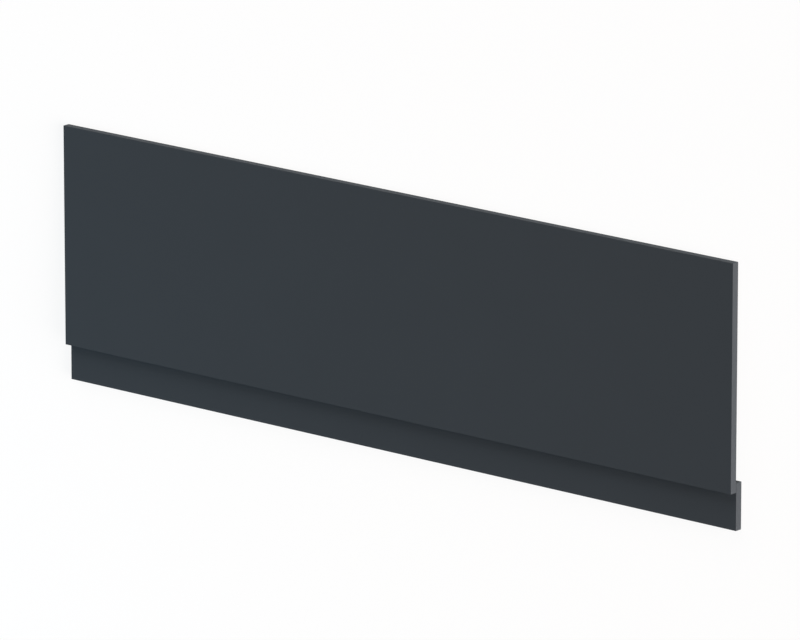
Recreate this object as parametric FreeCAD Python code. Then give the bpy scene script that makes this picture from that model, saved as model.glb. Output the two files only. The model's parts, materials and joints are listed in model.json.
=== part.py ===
"""Bath front panel with a plinth board lapped behind its lower edge.

Both boards are drawn as they stand when fitted to a bath: X runs along the panel, Y goes from
the room towards the bath, Z is up from the bathroom floor. They are then laid on their back,
the way the loose panel lies on a level floor. Sizes are in millimetres, angles in degrees.
"""

import FreeCAD
import Part

import math
import os

# Driving sizes
BOARD_LENGTH = 1700.0  # both boards are cut to one length, so their ends are flush
PANEL_HEIGHT = 454.0
PANEL_THICKNESS = 16.0
PLINTH_HEIGHT = 95.0
PLINTH_THICKNESS = 16.0
PLINTH_LAP = 19.0  # height of the plinth that is hidden behind the panel
PLINTH_CLEARANCE = 0.8  # joint between the boards, a fine dark line where their ends show
EDGE_RADIUS = 0.6  # rounding of every arris, as trimmed after edge banding

# Places that follow from the sizes, in the fitted position
BATHROOM_FLOOR = 0.0
PLINTH_TOP = BATHROOM_FLOOR + PLINTH_HEIGHT
PANEL_BOTTOM = PLINTH_TOP - PLINTH_LAP
PANEL_TOP = PANEL_BOTTOM + PANEL_HEIGHT
PANEL_FRONT = 0.0
PANEL_BACK = PANEL_FRONT + PANEL_THICKNESS
PLINTH_FRONT = PANEL_BACK + PLINTH_CLEARANCE
PLINTH_BACK = PLINTH_FRONT + PLINTH_THICKNESS

# On its back the panel rests on two lines: the upper back arris of the panel and that of the
# plinth. Its face therefore leans by the plinth's depth behind the panel over the distance
# between those lines.
REST_LEAN = math.degrees(math.atan2(PLINTH_BACK - PANEL_BACK, PANEL_TOP - PLINTH_TOP))
FACE_UP_TURN = -90.0

ORIGIN = FreeCAD.Vector(0, 0, 0)
LENGTHWAYS = FreeCAD.Vector(1, 0, 0)


def board(front, back, bottom, top):
    """A board cut to size, centred on X, with every arris rounded."""
    thickness = back - front
    corner = FreeCAD.Vector(-BOARD_LENGTH / 2, front, bottom)
    blank = Part.makeBox(BOARD_LENGTH, thickness, top - bottom, corner)
    radius = min(EDGE_RADIUS, thickness / 3)
    return blank.makeFillet(radius, blank.Edges)


def lay_on_back(boards):
    """Turn the boards face up and set them on the floor, centred over the origin."""
    for piece in boards:
        piece.rotate(ORIGIN, LENGTHWAYS, FACE_UP_TURN - REST_LEAN)
    box = Part.makeCompound(boards).optimalBoundingBox(False)
    to_floor = FreeCAD.Vector(-box.Center.x, -box.Center.y, -box.ZMin)
    for piece in boards:
        piece.translate(to_floor)


def main():
    front_panel = board(PANEL_FRONT, PANEL_BACK, PANEL_BOTTOM, PANEL_TOP)
    plinth = board(PLINTH_FRONT, PLINTH_BACK, BATHROOM_FLOOR, PLINTH_TOP)
    lay_on_back([front_panel, plinth])
    os.makedirs("parts", exist_ok=True)
    front_panel.exportStep("parts/front_panel.step")
    plinth.exportStep("parts/plinth.step")


main()
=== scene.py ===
"""Bath front panel with its plinth board, finished and laid on a studio floor.

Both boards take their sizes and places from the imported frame, in metres. The loose panel lies face
up on its back, and the camera looks down on it at the angle from which a fitted panel is seen in a
bathroom.
"""

import json
import math

import bmesh
import bpy
from bpy.props import FloatProperty, FloatVectorProperty, IntProperty, PointerProperty
from mathutils import Matrix, Vector


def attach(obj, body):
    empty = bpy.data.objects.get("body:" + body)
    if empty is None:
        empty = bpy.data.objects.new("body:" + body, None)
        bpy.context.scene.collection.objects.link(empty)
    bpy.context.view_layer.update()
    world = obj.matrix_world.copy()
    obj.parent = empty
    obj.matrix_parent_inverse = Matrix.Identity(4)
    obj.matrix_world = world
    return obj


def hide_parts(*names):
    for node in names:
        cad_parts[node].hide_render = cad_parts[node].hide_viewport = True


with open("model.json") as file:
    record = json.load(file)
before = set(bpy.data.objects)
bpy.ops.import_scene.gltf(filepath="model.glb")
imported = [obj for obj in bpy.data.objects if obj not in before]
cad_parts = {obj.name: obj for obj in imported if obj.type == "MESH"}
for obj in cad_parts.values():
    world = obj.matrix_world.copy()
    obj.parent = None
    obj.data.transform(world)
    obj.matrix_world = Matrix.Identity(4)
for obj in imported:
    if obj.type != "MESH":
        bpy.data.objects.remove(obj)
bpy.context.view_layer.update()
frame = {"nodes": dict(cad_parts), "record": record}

bl_info = {
    "name": "Bath Panel",
    "version": (1, 0, 0),
    "blender": (4, 5, 0),
    "location": "View3D > Sidebar > Bath Panel",
    "description": "Builds a bath front panel with its plinth and lays it on a studio floor",
    "category": "Object",
}

MM = 0.001
DEGREE = math.radians(1.0)

# The panel's own directions: along its length, up its height, and out of its face towards the room
MOUNTS = {mount["name"]: mount for mount in frame["record"]["mounts"]}
ALONG = Vector(MOUNTS["right_end"]["axis"]).normalized()
UPWARD = Vector(MOUNTS["top_edge"]["axis"]).normalized()
OUTWARD = ALONG.cross(UPWARD)
PANEL_TURN = Matrix((ALONG, UPWARD, OUTWARD)).transposed()  # from those directions to the frame's axes

# Places of the materials on a board's mesh
FACE_SLOT = 0
EDGING_SLOT = 1
FLAT = 0.999  # a face of the board that points this squarely along its thickness is no edge
FLAT_FACE_WEIGHT = 100  # large faces keep their own normals, so that only the arrises look round

# Finish of the boards, on the shader's own scales
CLOUD_TONE = 0.04  # share by which the melamine's clouds are lighter or darker than its colour
STREAK_TONE = 0.05  # the same for the streaks of the edging
FACE_ROUGHNESS = (0.86, 0.94)  # from the valleys of the relief to its tops
EDGING_ROUGHNESS = (0.74, 0.82)  # across the streaks
RELIEF_STRENGTH = 0.5
RESIN_IOR = 1.5  # of melamine and of ABS

WHITE = (1.0, 1.0, 1.0)
FLOOR_SEGMENTS = 96  # straight pieces round the rim of the floor


def linear(hex_colour):
    """Linear red, green and blue of an sRGB colour written as six hex digits."""
    # The numbers are those of the sRGB curve, which is straight near black
    shares = [int(hex_colour[place : place + 2], 16) / 255 for place in (0, 2, 4)]
    return [share / 12.92 if share <= 0.04045 else ((share + 0.055) / 1.055) ** 2.4 for share in shares]


def reach(node, axis):
    """Lowest and highest place of a CAD node along an axis."""
    places = [axis.dot(vertex.co) for vertex in frame["nodes"][node].data.vertices]
    return min(places), max(places)


class BATHPANEL_PG_boards(bpy.types.PropertyGroup):
    """Rounding and finish of both boards."""

    edge_radius: FloatProperty(
        name="Edge radius",
        description="Rounding of every arris of a board",
        default=0.6 * MM,
        min=0.0,
        subtype="DISTANCE",
    )
    edge_segments: IntProperty(
        name="Edge segments",
        description="Facets across each rounded arris",
        default=5,
        min=1,
        max=16,
    )
    face_colour: FloatVectorProperty(
        name="Face colour",
        description="Colour of the melamine on the boards' faces",
        default=linear("272E34"),
        min=0.0,
        max=1.0,
        subtype="COLOR",
    )
    edging_colour: FloatVectorProperty(
        name="Edging colour",
        description="Colour of the tape on the boards' edges",
        default=linear("282F35"),
        min=0.0,
        max=1.0,
        subtype="COLOR",
    )
    cloud_width: FloatProperty(
        name="Cloud width",
        description="Width of the faint clouds in the melamine's tone",
        default=140.0 * MM,
        min=1.0 * MM,
        subtype="DISTANCE",
    )
    pearl_width: FloatProperty(
        name="Pearl width",
        description="Width of one bump of the relief pressed into the melamine",
        default=2.0 * MM,
        min=0.1 * MM,
        subtype="DISTANCE",
    )
    pearl_depth: FloatProperty(
        name="Pearl depth",
        description="Height of that relief",
        default=0.03 * MM,
        min=0.0,
        subtype="DISTANCE",
    )
    streak_width: FloatProperty(
        name="Streak width",
        description="Distance between the faint streaks along the edging tape",
        default=1.1 * MM,
        min=0.1 * MM,
        subtype="DISTANCE",
    )
    streak_length: FloatProperty(
        name="Streak length",
        description="Length of one streak of the edging tape",
        default=250.0 * MM,
        min=1.0 * MM,
        subtype="DISTANCE",
    )


class BATHPANEL_PG_stage(bpy.types.PropertyGroup):
    """Floor, light and camera."""

    floor_colour: FloatVectorProperty(
        name="Floor colour",
        description="Colour of the paper floor",
        default=linear("F9F9F9"),
        min=0.0,
        max=1.0,
        subtype="COLOR",
    )
    floor_lift: FloatProperty(
        name="Floor lift",
        description="How far the floor is lifted to white where it is seen or mirrored",
        default=0.9,
        min=0.0,
        max=1.0,
        subtype="FACTOR",
    )
    floor_radius: FloatProperty(
        name="Floor radius",
        description="From the middle of the floor to its edge",
        default=90.0,
        min=1.0,
        subtype="DISTANCE",
    )
    end_light: FloatProperty(
        name="End light",
        description="Strength of the light on the panel's right end, in watts per square metre",
        default=8.25,
        min=0.0,
    )
    end_colour: FloatVectorProperty(
        name="End light colour",
        description="Colour of that light, which is a little warm",
        default=linear("FFF2EB"),
        min=0.0,
        max=1.0,
        subtype="COLOR",
    )
    top_light: FloatProperty(
        name="Top light",
        description="Strength of the light on the panel's top edge, in watts per square metre",
        default=2.36,
        min=0.0,
    )
    side_softbox: FloatProperty(
        name="Side softbox",
        description="Power of the softbox on the left, which makes that side of the face lighter",
        default=32.0,
        min=0.0,
        unit="POWER",
    )
    softbox_colour: FloatVectorProperty(
        name="Softbox colour",
        description="Colour of the softbox's light, which is cool like a window's",
        default=linear("75D7FF"),
        min=0.0,
        max=1.0,
        subtype="COLOR",
    )
    surroundings: FloatProperty(
        name="Surroundings",
        description="Strength of the even light from all round",
        default=0.036,
        min=0.0,
    )
    lens: FloatProperty(
        name="Lens",
        description="Focal length of the camera",
        default=411.9,
        min=1.0,
        unit="CAMERA",
    )
    azimuth: FloatProperty(
        name="Azimuth",
        description="How far the camera stands round to the right of the panel's face",
        default=40.0 * DEGREE,
        subtype="ANGLE",
    )
    elevation: FloatProperty(
        name="Elevation",
        description="How far the camera stands up the panel's height",
        default=15.0 * DEGREE,
        subtype="ANGLE",
    )
    distance: FloatProperty(
        name="Distance",
        description="From the camera to the point it looks at",
        default=17.84,
        min=0.1,
        subtype="DISTANCE",
    )
    aim_right: FloatProperty(
        name="Aim right",
        description="Point looked at, right of the middle of the panel's length",
        default=29.7 * MM,
        subtype="DISTANCE",
    )
    aim_height: FloatProperty(
        name="Aim height",
        description="Point looked at, above the plinth's foot",
        default=278.3 * MM,
        subtype="DISTANCE",
    )


def add_node(tree, kind, inputs, **settings):
    """Add a shader node, set its options, then fill or link its inputs, given by name or number."""
    node = tree.nodes.new(kind)
    for option, value in settings.items():
        setattr(node, option, value)
    for socket, value in inputs.items():
        if isinstance(value, bpy.types.NodeSocket):
            tree.links.new(value, node.inputs[socket])
        else:
            node.inputs[socket].default_value = value
    return node


def new_material(name):
    """An empty node material and its tree."""
    material = bpy.data.materials.new(name)
    material.use_nodes = True
    material.node_tree.nodes.clear()
    return material, material.node_tree


def shaded(colour, share):
    """A colour made lighter or darker by a share, with its alpha."""
    return [(1.0 + share) * part for part in colour] + [1.0]


def place_on_board(tree, spacing=(1.0, 1.0, 1.0)):
    """Places on the boards along the panel's own directions, each divided by a pattern's spacing."""
    object_place = add_node(tree, "ShaderNodeTexCoord", {})
    turned = add_node(
        tree,
        "ShaderNodeMapping",
        {"Vector": object_place.outputs["Object"], "Rotation": PANEL_TURN.to_euler(), "Scale": spacing},
        vector_type="TEXTURE",
    )
    return turned.outputs["Vector"]


def matt_melamine(settings):
    """Chipboard face of dark melamine paper, pressed against a matt plate."""
    # To the eye it is one even blue-grey, with a soft sheen only where it is seen along the face
    # against the light. The plate's pearl relief, really under a millimetre wide, is drawn coarser
    # so that it shows close up.
    material, tree = new_material("matt_melamine")
    place = place_on_board(tree)
    clouds = add_node(
        tree, "ShaderNodeTexNoise", {"Vector": place, "Scale": 1.0 / settings.cloud_width, "Detail": 2.0}
    )
    pearl = add_node(
        tree, "ShaderNodeTexNoise", {"Vector": place, "Scale": 1.0 / settings.pearl_width, "Detail": 1.0}
    )
    tone = add_node(
        tree,
        "ShaderNodeMix",
        {
            "Factor": clouds.outputs["Fac"],
            "A": shaded(settings.face_colour, -CLOUD_TONE),
            "B": shaded(settings.face_colour, CLOUD_TONE),
        },
        data_type="RGBA",
    )
    low, high = FACE_ROUGHNESS
    roughness = add_node(
        tree, "ShaderNodeMapRange", {"Value": pearl.outputs["Fac"], "To Min": low, "To Max": high}
    )
    relief = add_node(
        tree,
        "ShaderNodeBump",
        {
            "Height": pearl.outputs["Fac"],
            "Strength": RELIEF_STRENGTH,
            "Distance": settings.pearl_depth,
        },
    )
    surface = add_node(
        tree,
        "ShaderNodeBsdfPrincipled",
        {
            "Base Color": tone.outputs["Result"],
            "Roughness": roughness.outputs["Result"],
            "Normal": relief.outputs["Normal"],
            "IOR": RESIN_IOR,
        },
    )
    add_node(tree, "ShaderNodeOutputMaterial", {"Surface": surface.outputs["BSDF"]})
    return material


def matt_edging(settings):
    """Extruded ABS edging tape, glued round the board and scraped flush."""
    # To the eye it has the face's colour, a little less matt, with faint streaks along the tape.
    material, tree = new_material("matt_edging")
    place = place_on_board(tree, (settings.streak_length, settings.streak_length, settings.streak_width))
    streaks = add_node(tree, "ShaderNodeTexNoise", {"Vector": place, "Scale": 1.0, "Detail": 2.0})
    tone = add_node(
        tree,
        "ShaderNodeMix",
        {
            "Factor": streaks.outputs["Fac"],
            "A": shaded(settings.edging_colour, -STREAK_TONE),
            "B": shaded(settings.edging_colour, STREAK_TONE),
        },
        data_type="RGBA",
    )
    low, high = EDGING_ROUGHNESS
    roughness = add_node(
        tree, "ShaderNodeMapRange", {"Value": streaks.outputs["Fac"], "To Min": low, "To Max": high}
    )
    surface = add_node(
        tree,
        "ShaderNodeBsdfPrincipled",
        {
            "Base Color": tone.outputs["Result"],
            "Roughness": roughness.outputs["Result"],
            "IOR": RESIN_IOR,
        },
    )
    add_node(tree, "ShaderNodeOutputMaterial", {"Surface": surface.outputs["BSDF"]})
    return material


def board_material(make, settings):
    """The material of that name, made the first time a board asks for it."""
    return bpy.data.materials.get(make.__name__) or make(settings)


def add_board(name, node):
    """A board with rounded arrises in the place of a CAD node, with its faces and its edging marked."""
    settings = bpy.context.scene.bath_panel_boards
    spans = [reach(node, axis) for axis in (ALONG, UPWARD, OUTWARD)]
    size = Vector([high - low for low, high in spans])
    middle = Vector([(high + low) / 2 for low, high in spans])
    board = bmesh.new()
    bmesh.ops.create_cube(board, size=1.0)
    bmesh.ops.scale(board, vec=size, verts=board.verts)
    bmesh.ops.bevel(
        board,
        geom=board.edges[:],
        offset=settings.edge_radius,
        affect="EDGES",
        segments=settings.edge_segments,
        profile=0.5,
        material=-1,
    )
    for face in board.faces:
        face.smooth = True
        face.material_index = FACE_SLOT if abs(face.normal.z) > FLAT else EDGING_SLOT
    bmesh.ops.translate(board, vec=middle, verts=board.verts)
    bmesh.ops.rotate(board, cent=(0, 0, 0), matrix=PANEL_TURN, verts=board.verts)
    mesh = bpy.data.meshes.new(name)
    board.to_mesh(mesh)
    board.free()
    mesh.materials.append(board_material(matt_melamine, settings))
    mesh.materials.append(board_material(matt_edging, settings))
    piece = bpy.data.objects.new(name, mesh)
    bpy.context.scene.collection.objects.link(piece)
    normals = piece.modifiers.new("flat_faces", "WEIGHTED_NORMAL")
    normals.weight = FLAT_FACE_WEIGHT
    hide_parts(node)
    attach(piece, "root")


class BATHPANEL_OT_front_panel(bpy.types.Operator):
    """Add the large board that closes the side of the bath"""

    bl_idname = "bath_panel.front_panel"
    bl_label = "Front Panel"

    def execute(self, context):
        add_board("front_panel_board", "front_panel")
        return {"FINISHED"}


class BATHPANEL_OT_plinth(bpy.types.Operator):
    """Add the narrow board that is set back behind the panel's lower edge"""

    bl_idname = "bath_panel.plinth"
    bl_label = "Plinth"

    def execute(self, context):
        add_board("plinth_board", "plinth")
        return {"FINISHED"}


def white_paper(settings):
    """Studio paper."""
    # To the eye it is white without a texture, and a faint soft shadow shows where the boards lie.
    material, tree = new_material("white_paper")
    ray = add_node(tree, "ShaderNodeLightPath", {})
    seen = ray.outputs["Is Camera Ray"]
    for way in ("Is Glossy Ray", "Is Transmission Ray"):
        either = add_node(tree, "ShaderNodeMath", {0: seen, 1: ray.outputs[way]}, operation="MAXIMUM")
        seen = either.outputs[0]
    lift = add_node(tree, "ShaderNodeMath", {0: seen, 1: settings.floor_lift}, operation="MULTIPLY")
    paper = add_node(tree, "ShaderNodeBsdfDiffuse", {"Color": [*settings.floor_colour, 1.0]})
    white = add_node(tree, "ShaderNodeEmission", {"Color": (*WHITE, 1.0), "Strength": 1.0})
    surface = add_node(
        tree, "ShaderNodeMixShader", {0: lift.outputs[0], 1: paper.outputs[0], 2: white.outputs[0]}
    )
    add_node(tree, "ShaderNodeOutputMaterial", {"Surface": surface.outputs[0]})
    return material


def add_floor(settings):
    """Round paper floor, wide enough for views from any side."""
    disc = bmesh.new()
    bmesh.ops.create_circle(disc, cap_ends=True, segments=FLOOR_SEGMENTS, radius=settings.floor_radius)
    mesh = bpy.data.meshes.new("floor")
    disc.to_mesh(mesh)
    disc.free()
    mesh.materials.append(white_paper(settings))
    floor = bpy.data.objects.new("floor", mesh)
    bpy.context.scene.collection.objects.link(floor)


def add_camera(settings):
    """Camera that looks at a point of the panel's face, turned with the panel so that it is upright."""
    level = ALONG * math.sin(settings.azimuth) + OUTWARD * math.cos(settings.azimuth)
    back = level * math.cos(settings.elevation) + UPWARD * math.sin(settings.elevation)
    right = ALONG * math.cos(settings.azimuth) - OUTWARD * math.sin(settings.azimuth)
    turn = Matrix((right, back.cross(right), back)).transposed()
    foot = reach("plinth", UPWARD)[0]
    face = reach("front_panel", OUTWARD)[1]
    aim = ALONG * settings.aim_right + UPWARD * (foot + settings.aim_height) + OUTWARD * face
    camera = bpy.data.objects.new("camera", bpy.data.cameras.new("camera"))
    camera.matrix_world = Matrix.Translation(aim + back * settings.distance) @ turn.to_4x4()
    camera.data.lens = settings.lens
    camera.data.clip_end = 2 * settings.floor_radius
    bpy.context.scene.collection.objects.link(camera)
    bpy.context.scene.camera = camera


def add_lamp(name, kind, strength, colour, way):
    """A lamp that shines on the origin from the way given, and isn't seen itself."""
    lamp = bpy.data.objects.new(name, bpy.data.lights.new(name, kind))
    lamp.data.energy = strength
    lamp.data.color = colour
    lamp.rotation_mode = "QUATERNION"
    lamp.rotation_quaternion = way.to_track_quat("Z", "Y")
    lamp.visible_camera = False
    bpy.context.scene.collection.objects.link(lamp)
    return lamp


def add_far_light(name, strength, colour, bearing, height, spread):
    """A large far light, with its bearing from the right end towards the top edge, in degrees."""
    level = Vector((math.cos(bearing * DEGREE), math.sin(bearing * DEGREE), math.tan(height * DEGREE)))
    lamp = add_lamp(name, "SUN", strength, colour, level)
    lamp.data.angle = spread * DEGREE


def add_softbox(name, power, colour, place, width):
    """A square softbox at a place in metres."""
    lamp = add_lamp(name, "AREA", power, colour, Vector(place))
    lamp.location = place
    lamp.data.size = width


class BATHPANEL_OT_stage(bpy.types.Operator):
    """Add the floor, the light and the camera"""

    bl_idname = "bath_panel.stage"
    bl_label = "Stage"

    def execute(self, context):
        settings = context.scene.bath_panel_stage
        add_floor(settings)
        add_camera(settings)
        add_far_light(
            "end_light", settings.end_light, settings.end_colour, bearing=0.0, height=15.0, spread=40.0
        )
        add_far_light("top_light", settings.top_light, WHITE, bearing=90.0, height=15.0, spread=60.0)
        add_softbox(
            "side_softbox",
            settings.side_softbox,
            settings.softbox_colour,
            place=(-3.0, -1.0, 1.8),
            width=2.0,
        )
        world = bpy.data.worlds.new("studio")
        world.use_nodes = True
        background = world.node_tree.nodes["Background"]
        background.inputs["Color"].default_value = (*WHITE, 1.0)
        background.inputs["Strength"].default_value = settings.surroundings
        context.scene.world = world
        context.scene.view_settings.view_transform = "Standard"
        return {"FINISHED"}


class BATHPANEL_PT_sidebar(bpy.types.Panel):
    """Sidebar panel with the pieces and their settings"""

    bl_label = "Bath Panel"
    bl_space_type = "VIEW_3D"
    bl_region_type = "UI"
    bl_category = "Bath Panel"

    def draw(self, context):
        for operators, settings in (
            ((BATHPANEL_OT_front_panel, BATHPANEL_OT_plinth), context.scene.bath_panel_boards),
            ((BATHPANEL_OT_stage,), context.scene.bath_panel_stage),
        ):
            box = self.layout.box()
            for name in settings.__annotations__:
                box.prop(settings, name)
            for operator in operators:
                box.operator(operator.bl_idname)


CLASSES = (
    BATHPANEL_PG_boards,
    BATHPANEL_PG_stage,
    BATHPANEL_OT_front_panel,
    BATHPANEL_OT_plinth,
    BATHPANEL_OT_stage,
    BATHPANEL_PT_sidebar,
)


def register():
    for cls in CLASSES:
        bpy.utils.register_class(cls)
    bpy.types.Scene.bath_panel_boards = PointerProperty(type=BATHPANEL_PG_boards)
    bpy.types.Scene.bath_panel_stage = PointerProperty(type=BATHPANEL_PG_stage)


def unregister():
    del bpy.types.Scene.bath_panel_stage
    del bpy.types.Scene.bath_panel_boards
    for cls in reversed(CLASSES):
        bpy.utils.unregister_class(cls)


def main():
    register()
    bpy.ops.bath_panel.front_panel()
    bpy.ops.bath_panel.plinth()
    bpy.ops.bath_panel.stage()


if __name__ == "__main__":
    main()
